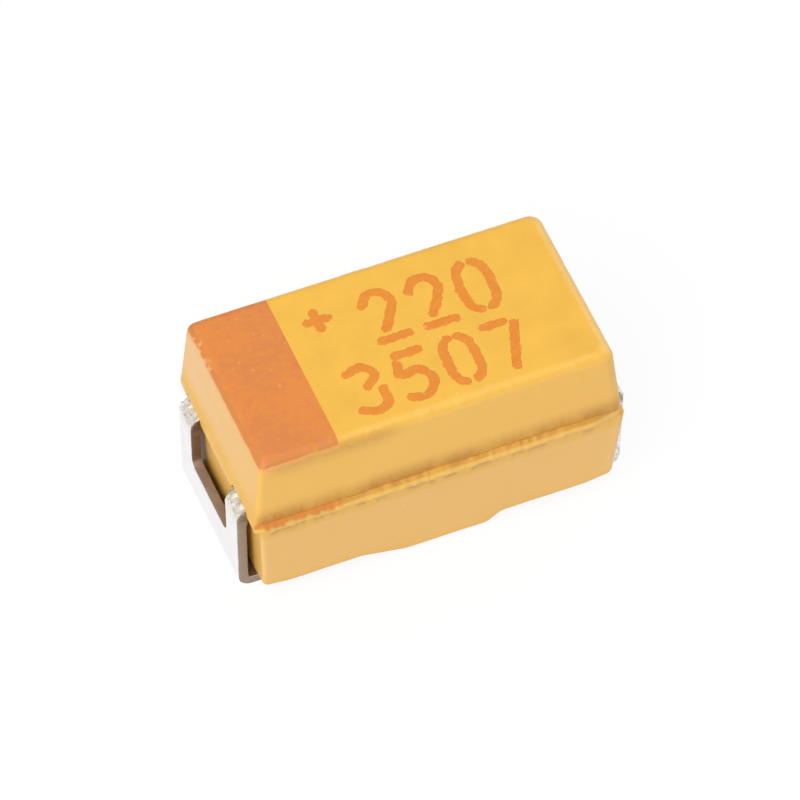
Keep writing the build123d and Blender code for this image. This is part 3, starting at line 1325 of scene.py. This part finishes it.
@dataclass
class TopMarking:
    """The band let into the case's top, and the plain printed numbers beside it."""

    chip: Chip
    case: CaseMoulding

    def let_in(self, skin: bmesh.types.BMesh) -> bmesh.types.BMesh:
        """Cut the band's bed into the case's skin.

        Args:
            skin: The case's skin, which is changed.

        Returns:
            The band, as a mesh of its own that fills the bed.
        """
        near_top = self.case.parting + (self.chip.top - self.case.parting) / 2
        for place, facing in (
            ((self.chip.band_end, 0, 0), (1, 0, 0)),
            ((0, 0, self.chip.band_floor), (0, 0, 1)),
        ):
            faces = [f for f in skin.faces if f.calc_center_median().z > near_top]
            geometry = {e for f in faces for e in f.edges} | {v for f in faces for v in f.verts} | set(faces)
            bmesh.ops.bisect_plane(skin, geom=list(geometry), dist=SLACK, plane_co=place, plane_no=facing)
        bed = [f for f in skin.faces if self._in_band(f.calc_center_median())]
        for face in bed:
            face.material_index = 1
        band = skin.copy()
        self._sink(skin, delete_top=True)
        bmesh.ops.delete(band, geom=[f for f in band.faces if f.material_index == 0], context="FACES")
        self._sink(band, delete_top=False)
        return band

    def _in_band(self, place: Vector) -> bool:
        """Return True for a place on the band's visible skin."""
        return place.x < self.chip.band_end and place.z > self.chip.band_floor

    def _sink(self, mesh: bmesh.types.BMesh, delete_top: bool) -> None:
        """Extrude the faces marked as the band down to the bed's floor.

        Args:
            mesh: The case's skin, or the band's top alone.
            delete_top: True for the case, whose old top goes.
        """
        top = [f for f in mesh.faces if f.material_index == 1]
        sink(mesh, top, lambda height: self.chip.band_floor)
        if delete_top:
            bmesh.ops.delete(mesh, geom=top, context="FACES")
        bmesh.ops.remove_doubles(mesh, verts=mesh.verts, dist=MERGE)
        bmesh.ops.dissolve_degenerate(mesh, edges=mesh.edges, dist=SLACK)
        bmesh.ops.recalc_face_normals(mesh, faces=mesh.faces)
        for edge in mesh.edges:
            if len(edge.link_faces) == 2 and edge.calc_face_angle() > SHARP:
                edge.smooth = False
        for face in mesh.faces:
            face.material_index = 0


class Sign(Enum):
    """Stencilled signs. Each is a set of lines through points in a cell one unit wide and one unit high."""

    PLUS = (((0.0, 0.5), (1.0, 0.5)), ((0.5, 0.0), (0.5, 1.0)))
    ZERO = (
        ((0.34, 1.0), (0.04, 0.80), (0.0, 0.2), (0.28, 0.0)),
        ((0.72, 1.0), (1.0, 0.80), (0.98, 0.2), (0.68, 0.0)),
    )
    TWO = (((0.0, 0.80), (0.30, 1.0), (0.80, 0.95), (0.94, 0.68), (0.40, 0.22)), ((0.06, 0.0), (1.0, 0.0)))
    THREE = (
        ((0.04, 0.94), (0.60, 1.0), (0.90, 0.76), (0.52, 0.56)),
        ((0.98, 0.42), (0.86, 0.06), (0.40, 0.0), (0.0, 0.08)),
    )
    FIVE = (
        ((0.14, 1.0), (0.96, 1.0)),
        ((0.06, 0.80), (0.04, 0.56), (0.70, 0.58), (1.0, 0.28), (0.60, 0.0), (0.0, 0.04)),
    )
    SEVEN = (((0.0, 1.0), (0.66, 1.0)), ((1.0, 0.90), (0.40, 0.0)))


@dataclass(frozen=True)
class NumberRow:
    """A row of signs, set from left to right."""

    signs: tuple[Sign, ...]
    start: Place  # lower left corner of the first cell
    pitch: float
    cell: Place  # width and height of a cell between its strokes' middle lines


@dataclass
class PrintedNumbers:
    """Plain stencilled numbers and a plus sign, printed on the case's top beside the band."""

    chip: Chip
    rows: tuple[NumberRow, ...] = (
        NumberRow((Sign.PLUS,), (-0.62, 0.30), 0.0, (0.16, 0.16)),
        NumberRow((Sign.TWO, Sign.TWO, Sign.ZERO), (-0.175, 0.01), 0.38, (0.235, 0.46)),
        NumberRow((Sign.THREE, Sign.FIVE, Sign.ZERO, Sign.SEVEN), (-0.54, -0.59), 0.38, (0.225, 0.43)),
    )
    area: tuple[Place, Place] = ((-0.75, 0.95), (-0.72, 0.58))  # along X and Y, with room for all signs
    stroke: float = 0.076
    ragged: float = 0.013  # how far the strokes' edges wander
    depth: float = 0.008
    step: float = 0.009
    line_steps: int = 6  # from each point of a sign's line to the next

    def build(self) -> bmesh.types.BMesh:
        """Build the printed signs as thin closed slips whose tops stand a hair above the case.

        Returns:
            All slips as one mesh.
        """
        across, deep = (np.arange(start, stop, self.step) for start, stop in self.area)
        x, y = (grid.ravel() for grid in np.meshgrid(across, deep, indexing="ij"))
        points = np.column_stack([x, y])
        away = np.full(len(points), 1.0)
        for start, stop in self._lines():
            along = stop - start
            share = np.clip((points - start) @ along / (along @ along), 0, 1)
            away = np.minimum(away, np.linalg.norm(points - start - share[:, None] * along, axis=1))
        near = away < self.stroke
        torn = wander(points[near], 0.045, 31.0) + 0.7 * wander(points[near], 0.018, 32.0)
        away[near] += self.ragged * torn
        inside = (self.stroke / 2 - away).reshape(len(across), len(deep))
        return self._slips(across, deep, inside)

    def _lines(self) -> list[tuple[Array, Array]]:
        """Set out every sign's lines on the case's top.

        Returns:
            The first and last point of every short straight piece.
        """
        pieces = []
        for row in self.rows:
            for place, sign in enumerate(row.signs):
                corner = np.array([row.start[0] + place * row.pitch, row.start[1]])
                for points in sign.value:
                    line = self._smooth_line(corner + np.array(points) * np.array(row.cell))
                    pieces += list(zip(line, line[1:]))
        return pieces

    def _smooth_line(self, points: Array) -> Array:
        """Draw a smooth line.

        Args:
            points: The points that it goes through.

        Returns:
            Points that lie closer together on the line.
        """
        known = np.vstack([points[0], points, points[-1]])
        dense = []
        for a, b, c, d in zip(known, known[1:], known[2:], known[3:]):
            for t in np.linspace(0, 1, self.line_steps, endpoint=False):
                bend = (2 * a - 5 * b + 4 * c - d) * t**2 + (3 * b - a - 3 * c + d) * t**3
                dense.append(0.5 * (2 * b + (c - a) * t + bend))
        return np.array([*dense, known[-1]])

    def _slips(self, across: Array, deep: Array, inside: Array) -> bmesh.types.BMesh:
        """Make flat slips where inside is above 0, cut along the line where it is 0, and thicken them.

        Args:
            across: The grid's places along X.
            deep: The grid's places along Y.
            inside: A number for each grid point.

        Returns:
            The closed slips.
        """
        made = bmesh.new()
        points: dict[tuple[Key, ...], bmesh.types.BMVert] = {}

        def point(*corners: Key) -> bmesh.types.BMVert:
            """Find or add a point of the slips' top.

            Args:
                *corners: A grid point, or the two that the border crosses between.

            Returns:
                The point.
            """
            key = tuple(sorted(corners))
            if key not in points:
                share = 0.0 if len(key) == 1 else inside[key[0]] / (inside[key[0]] - inside[key[-1]])
                start, stop = (np.array([across[i], deep[j]]) for i, j in (key[0], key[-1]))
                points[key] = made.verts.new((*(start + (stop - start) * share), self.chip.top))
            return points[key]

        for i, j in np.argwhere(self._any_corner(inside > 0)):
            square = [(i, j), (i + 1, j), (i + 1, j + 1), (i, j + 1)]
            loop = []
            for here, after in around(square):
                if inside[here] > 0:
                    loop.append(point(here))
                if (inside[here] > 0) != (inside[after] > 0):
                    loop.append(point(here, after))
            if len(loop) > 2:
                made.faces.new(loop)
        bmesh.ops.dissolve_degenerate(made, edges=made.edges, dist=self.step * 0.02)
        sink(made, list(made.faces), lambda height: height - self.depth)
        bmesh.ops.recalc_face_normals(made, faces=made.faces)
        return made

    @staticmethod
    def _any_corner(grid: Array) -> Array:
        """Return, for each cell of a grid, whether any of its four corners holds."""
        return grid[:-1, :-1] | grid[1:, :-1] | grid[1:, 1:] | grid[:-1, 1:]


# ---- Leads -----------------------------------------------------------------------------------------------


@dataclass
class LeadStrip:
    """What both lead strips share: foot, leg and the bend into the case, built with the leg at -X."""

    chip: Chip
    thickness: float = 0.08
    foot: float = 0.80
    radius: float = 0.07  # of the strip's middle line
    case_end: float = 1.47
    lean: float = 0.008  # how far the leg's lower end leans in
    set_in: float = 0.0  # how far the whole leg stands in
    crust_height: float = 0.030
    crust_grains: Place = (0.034, 0.015)  # sizes of the coarse and the fine lumps of tin
    tear: float = 0.0035  # how rough the sheared edges are
    tear_grain: float = 0.03
    step: float = 0.022
    fine: float = 0.012
    row_gap: float = 0.004  # the least distance from a kept row to its neighbours

    @property
    def exit(self) -> float:
        """Return the height of the strip's middle where it leaves the case."""
        return self.chip.strip_top - self.thickness / 2

    def corners(self, *inside: Place) -> list[Place]:
        """Return the path's corners: the foot, the leg and then what lies inside the case."""
        low, outer = self.thickness / 2, -self.chip.half_length + self.thickness / 2
        return [(-self.chip.half_length + self.foot, low), (outer, low), (outer, self.exit), *inside]

    def columns(self, *breaks: float) -> list[float]:
        """Spread columns over the strip's width.

        Args:
            *breaks: Distances from the middle that have to be columns on both sides.

        Returns:
            The columns' places, from edge to edge.
        """
        edges = sorted({0.0, *breaks, self.chip.half_terminal})
        places = [0.0]
        for start, stop in zip(edges, edges[1:]):
            step = self.fine * 1.3 if stop == edges[-1] else self.step
            count = max(2, math.ceil((stop - start) / step))
            places += [start + (stop - start) * (k + 1) / count for k in range(count)]
        return sorted({-p for p in places} | set(places))

    def spread(self, path: BentPath, *kept: float) -> list[float]:
        """Spread rows along the strip.

        Args:
            path: The strip's path.
            *kept: Developed lengths that have to be rows.

        Returns:
            The rows' developed lengths, in order.
        """
        rows = path.rows(self.step, self.fine)
        return sorted({*kept, *(r for r in rows if min(abs(r - k) for k in kept) > self.row_gap)})

    def weather(self, made: bmesh.types.BMesh) -> None:
        """Lean the leg in, pile the lumpy tin on its shoulder and roughen the sheared edges.

        Args:
            made: The formed strip, with its leg at -X. It is changed.
        """
        crust = made.verts.layers.float.new(Paint.CRUST.value)
        cut = made.verts.layers.float[Paint.CUT.value]
        coarse, small = self.crust_grains
        made.normal_update()
        for vertex in made.verts:
            x, z = vertex.co.x, vertex.co.z
            outside = smooth(x, -self.case_end + 0.10, -self.case_end)
            settled = float(smooth(x, -self.case_end + 0.35, -self.case_end))
            high = float(smooth(z, self.exit - 0.20, self.exit - 0.03) * outside)
            lump = noise.noise(vertex.co / coarse) + 0.6 * noise.noise(vertex.co / small + Vector((5, 0, 0)))
            tear = noise.noise(vertex.co / self.tear_grain + Vector((0, 9, 0)))
            vertex[crust] = high
            grow = high * self.crust_height * max(0.0, lump + 0.25)
            grow += self.tear * tear * vertex[cut] * outside
            vertex.co += vertex.normal * grow
            vertex.co.x += settled * (self.set_in + self.lean * max(0.0, 1 - z / self.exit) ** 1.5)
            vertex.co.x = max(vertex.co.x, -self.chip.half_length)
            vertex.co.z = max(vertex.co.z, 0.0)


@dataclass
class AnodeLead(LeadStrip):
    """The anode strip: a window divides its leg into two prongs, and a tongue inside carries the wire."""

    window_half: float = 0.35
    window_corner: float = 0.07
    sill: float = 0.42
    window_depth: float = 0.24
    shoulder: float = 0.14
    tongue_half: float = 0.23
    tongue: float = 0.22
    narrowing: float = 0.25  # below the sill, where the pattern's columns draw together
    corner_turn: int = 9  # degrees from row to row round the window's corners
    outer_tarnish: float = 0.55  # Paint.CUT on the strip's outer edges
    sill_tarnish: float = 0.74
    # The window's edges are the darkest: painted shade.
    window_tarnish_and_shade: float = 1.0

    def build(self) -> bmesh.types.BMesh:
        """Blank the strip and form it.

        Returns:
            The formed strip.
        """
        window_end = -self.chip.half_length + self.thickness + self.window_depth
        shoulder_end = window_end + self.shoulder
        end = shoulder_end + self.tongue
        path = BentPath(self.corners((end, self.exit)), self.radius)
        total = path.pieces()[-1][0]
        leg = path.pieces()[2]
        sill = leg[0] + self.sill - leg[1].y
        window_stop = total - (end - window_end)
        shoulder_stop = total - self.tongue
        turns = range(0, 91, self.corner_turn)
        arc = [sill + self.window_corner * (1 - math.cos(math.radians(turn))) for turn in turns]
        rows = self.spread(path, sill, window_stop, shoulder_stop, *arc)

        def holds(row: float, column: float) -> bool:
            """Tell whether the pattern is metal.

            Args:
                row: The developed length.
                column: The place across the strip.

            Returns:
                True where it is.
            """
            if row > shoulder_stop:
                return abs(column) < self.tongue_half
            return not (sill < row < window_stop and abs(column) < self.window_half)

        def shift(row: float, column: float) -> float:
            """Move a column so that the window's lower corners are round.

            Args:
                row: The developed length.
                column: The place across the strip.

            Returns:
                The column's new place.
            """
            above = min(max(row - sill, 0.0), self.window_corner)
            rise = self.window_corner - above
            inner = self.window_half - (self.window_corner - math.sqrt(self.window_corner**2 - rise**2))
            if row < sill:
                drawn = float(smooth(row, sill - self.narrowing, sill))
                inner = self.window_half - self.window_corner * drawn
            size = abs(column)
            if size <= self.window_half:
                return column * inner / self.window_half
            outer = self.chip.half_terminal
            share = (size - self.window_half) / (outer - self.window_half)
            return math.copysign(inner + (outer - inner) * share, column)

        def tarnish(row: float, column: float) -> float:
            """Judge how bare and dark the sheared edge is: darkest in the window, as painted shade.

            Args:
                row: The developed length.
                column: The place across the strip.

            Returns:
                The edge's Paint.CUT.
            """
            if abs(column) > self.window_half + 0.02:
                return self.outer_tarnish
            return self.sill_tarnish if row < sill + 0.03 else self.window_tarnish_and_shade

        columns = self.columns(self.tongue_half, self.window_half)
        made = BlankedStrip(path, self.thickness, rows, columns, holds, shift, tarnish).mesh()
        self.weather(made)
        return made


@dataclass
class CathodeLead(LeadStrip):
    """The cathode strip: whole across its leg, then narrower and cranked down to a seat under the pellet."""

    lean: float = 0.020
    set_in: float = 0.012
    crust_height: float = 0.010
    shoulder_end: float = 1.235
    crank_head: float = 1.165
    crank_foot: float = 1.025
    seat_end: float = 0.185
    seat_height: float = 0.47
    seat_half: float = 0.42
    tarnish: float = 0.33  # Paint.CUT on the sheared edges

    def build(self) -> bmesh.types.BMesh:
        """Blank the strip, form it and turn it round to its own end of the chip.

        Returns:
            The formed strip.
        """
        inside = [
            (-self.crank_head, self.exit),
            (-self.crank_foot, self.seat_height),
            (-self.seat_end, self.seat_height),
        ]
        path = BentPath(self.corners(*inside), self.radius)
        run = path.pieces()[4]
        shoulder_stop = run[0] + (-self.shoulder_end - run[1].x)
        rows = self.spread(path, shoulder_stop)

        def holds(row: float, column: float) -> bool:
            """Return True where the pattern is metal."""
            return row < shoulder_stop or abs(column) < self.seat_half

        columns = self.columns(self.seat_half)
        made = BlankedStrip(
            path,
            self.thickness,
            rows,
            columns,
            holds,
            shift=lambda row, column: column,
            tarnish=lambda row, column: self.tarnish,
        ).mesh()
        self.weather(made)
        bmesh.ops.scale(made, vec=(-1, 1, 1), verts=made.verts)
        bmesh.ops.reverse_faces(made, faces=made.faces)
        return made


# ---- Inside the case -------------------------------------------------------------------------------------


@dataclass(frozen=True)
class AnodeElement:
    """What the case is moulded round. Its solids stay as they are and only take their finishes."""

    finishes: tuple[tuple[str, GrainyFinish | DrawnFinish], ...] = (
        (
            "tantalum_pellet",
            GrainyFinish("sintered_tantalum", (0.34, 0.34, 0.36), (0.10, 0.10, 0.11), 0.02, 0.6, 0.8),
        ),
        (
            "anode_wire",
            DrawnFinish("tantalum_wire", (0.55, 0.55, 0.58), (0.32, 0.32, 0.35), 0.38, 1.0),
        ),
        (
            "wire_washer",
            DrawnFinish("washer_polymer", (0.86, 0.86, 0.83), (0.72, 0.72, 0.69), 0.45, 0.0, 0.02),
        ),
        (
            "manganese_dioxide_coat",
            GrainyFinish("manganese_dioxide", (0.06, 0.055, 0.05), (0.01, 0.01, 0.01), 0.015, 0.7),
        ),
        (
            "graphite_coat",
            GrainyFinish("graphite", (0.13, 0.13, 0.135), (0.03, 0.03, 0.03), 0.012, 0.5, 0.3),
        ),
        (
            "silver_coat",
            GrainyFinish("silver_paint", (0.80, 0.79, 0.76), (0.50, 0.49, 0.47), 0.018, 0.45, 0.9),
        ),
        (
            "silver_adhesive",
            GrainyFinish("silver_epoxy", (0.66, 0.65, 0.62), (0.36, 0.35, 0.33), 0.022, 0.5, 0.8),
        ),
    )

    def dress(self) -> None:
        """Put each finish on its solid."""
        for name, finish in self.finishes:
            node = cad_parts[name]
            material = finish.material()
            for slot in node.material_slots:
                slot.material = material
            LOG.info("%s: finish %s", name, material.name)


# ---- Studio ----------------------------------------------------------------------------------------------


@dataclass(frozen=True)
class SoftBox:
    """A square lamp that faces the chip."""

    name: str
    direction: tuple[float, float, float]  # from the chip to the lamp
    level: float  # brightness on a matt white card that faces the lamp, as a share of white
    distance: float = 80.0
    side: float = 70.0

    def build(self, aim: Vector) -> None:
        """Hang the lamp.

        Args:
            aim: The place that it faces.
        """
        lamp = bpy.data.lights.new(self.name, "AREA")
        lamp.shape = "SQUARE"
        lamp.size = self.side * METRE
        lamp.energy = self.level * (math.pi * self.distance * METRE) ** 2
        holder = add_object(self.name, lamp)
        away = Vector(self.direction).normalized()
        holder.location = (aim + away * self.distance) * METRE
        holder.rotation_mode = "QUATERNION"
        holder.rotation_quaternion = away.to_track_quat("Z", "Y")


@dataclass(frozen=True)
class Viewpoint:
    """The camera: where it stands and how much it takes in."""

    azimuth: float = -22.33  # degrees, from straight in front
    elevation: float = 51.70  # degrees
    roll: float = -0.07  # degrees
    distance: float = 68.8
    focal: float = 407.2
    sensor: float = 36.0
    clips: Place = (5.0, 1000.0)
    target: tuple[float, float, float] = (-0.0265, 0.0, 0.786)
    aim: Place = (0.0073, 0.0417)  # aim beside the target, to the right and up

    def build(self) -> None:
        """Set up the camera and make it the scene's."""
        turn, rise = math.radians(self.azimuth), math.radians(self.elevation)
        back = Vector((math.sin(turn) * math.cos(rise), -math.cos(turn) * math.cos(rise), math.sin(rise)))
        right = Vector((math.cos(turn), math.sin(turn), 0))
        up = back.cross(right)
        place = Vector(self.target) + back * self.distance
        towards = Vector(self.target) + right * self.aim[0] + up * self.aim[1]
        axis = (place - towards).normalized()
        side = up.cross(axis).normalized()
        turned = Matrix((side, axis.cross(side), axis)).transposed()
        turned = turned @ Matrix.Rotation(math.radians(self.roll), 3, "Z")
        data = bpy.data.cameras.new("camera")
        data.lens = self.focal
        data.sensor_width = self.sensor
        data.clip_start, data.clip_end = (clip * METRE for clip in self.clips)
        camera = add_object("camera", data)
        camera.matrix_world = Matrix.Translation(place * METRE) @ turned.to_4x4()
        bpy.context.scene.camera = camera


@dataclass(frozen=True)
class Studio:
    """A pale floor, an even sky and soft lamps."""

    sky: float = 0.50
    sky_mirrored: float = 0.36
    floor_grey: float = 0.72  # of the floor as it lights the chip
    floor_shown: float = 0.10  # of the floor as it shows, on top of its glow
    floor_glow: float = 0.90
    floor_radius: float = 400.0
    floor_drop: float = 0.001  # under the feet
    lamp_aim: tuple[float, float, float] = (0.0, 0.0, 0.8)
    lamps: tuple[SoftBox, ...] = (
        SoftBox("key_box", (-0.453, -0.361, 0.815), 0.90),
        SoftBox("side_box", (0.80, 0.30, 0.45), 0.26),
    )

    def build(self) -> None:
        """Build the whole studio."""
        bpy.context.scene.view_settings.view_transform = "Standard"
        self._floor()
        self._sky()
        for lamp in self.lamps:
            lamp.build(Vector(self.lamp_aim))
        Viewpoint().build()

    @staticmethod
    def _seen(graph: Graph) -> Field:
        """Tell the rays that show the backdrop: from the camera, or off or through a shiny surface.

        Args:
            graph: The backdrop's graph.

        Returns:
            1 for these rays and 0 for all others.
        """
        kinds = ("Is Camera Ray", "Is Glossy Ray", "Is Transmission Ray")
        first, *others = (graph.node("ShaderNodeLightPath", output=kind) for kind in kinds)
        for other in others:
            first = first.most(other)
        return first

    def _floor(self) -> None:
        """Lay a round floor under the feet."""
        made = bmesh.new()
        bmesh.ops.create_circle(made, cap_ends=True, segments=96, radius=self.floor_radius)
        for vertex in made.verts:
            vertex.co.z = -self.floor_drop
        floor = finish_mesh(made, "floor")
        graph = Graph("pale_floor")
        shown = self._seen(graph)
        grain = graph.cloud(6.0, 2.0, 0.5, 40.0)
        grey = self.floor_grey + (self.floor_shown - self.floor_grey) * shown + (grain - 0.5) * 0.004
        graph.set(Base_Color=graph.grey(grey), Roughness=1.0, Specular_IOR_Level=0.0)
        graph.set(Emission_Color=graph.grey(shown * self.floor_glow), Emission_Strength=1.0)
        floor.data.materials.append(graph.material)

    def _sky(self) -> None:
        """Light the chip evenly from all round, and show white behind it."""
        world = bpy.data.worlds.new("even_sky")
        world.use_nodes = True
        tree = world.node_tree
        tree.nodes.clear()
        path = tree.nodes.new("ShaderNodeLightPath")
        level: float | bpy.types.NodeSocket = self.sky
        for kind, shown in (("Is Glossy Ray", self.sky_mirrored), ("Is Camera Ray", 1.0)):
            mix = tree.nodes.new("ShaderNodeMix")
            tree.links.new(path.outputs[kind], mix.inputs[0])
            mix.inputs[3].default_value = shown
            if isinstance(level, float):
                mix.inputs[2].default_value = level
            else:
                tree.links.new(level, mix.inputs[2])
            level = mix.outputs[0]
        background = tree.nodes.new("ShaderNodeBackground")
        output = tree.nodes.new("ShaderNodeOutputWorld")
        tree.links.new(level, background.inputs["Strength"])
        tree.links.new(background.outputs[0], output.inputs["Surface"])
        bpy.context.scene.world = world


def main() -> None:
    """Build the chip's pieces in order, then the studio round them."""
    logging.basicConfig(level=logging.INFO, format="%(name)s: %(message)s")
    chip = Chip.from_solids()
    case = CaseMoulding(chip)
    skin = case.build()
    band = TopMarking(chip, case).let_in(skin)
    ink = MarkingInk("band_ink", screen(228, 139, 62), screen(219, 130, 68), flakes=True)
    number_ink = MarkingInk("number_ink", screen(232, 143, 44), screen(228, 136, 42), wear=0.4)
    strip = TinnedStrip().material()
    seat(finish_mesh(skin, "case_moulding"), MouldedResin().material(), "case_resin", "moulded_case")
    seat(finish_mesh(band, "anode_band"), ink.material(), "band_ink", "polarity_band")
    seat(finish_mesh(PrintedNumbers(chip).build(), "printed_numbers"), number_ink.material(), "band_ink")
    seat(finish_mesh(AnodeLead(chip).build(), "anode_lead"), strip, "tinned_strip", "anode_terminal")
    seat(finish_mesh(CathodeLead(chip).build(), "cathode_lead"), strip, "tinned_strip", "cathode_terminal")
    AnodeElement().dress()
    Studio().build()


if __name__ == "__main__":
    main()
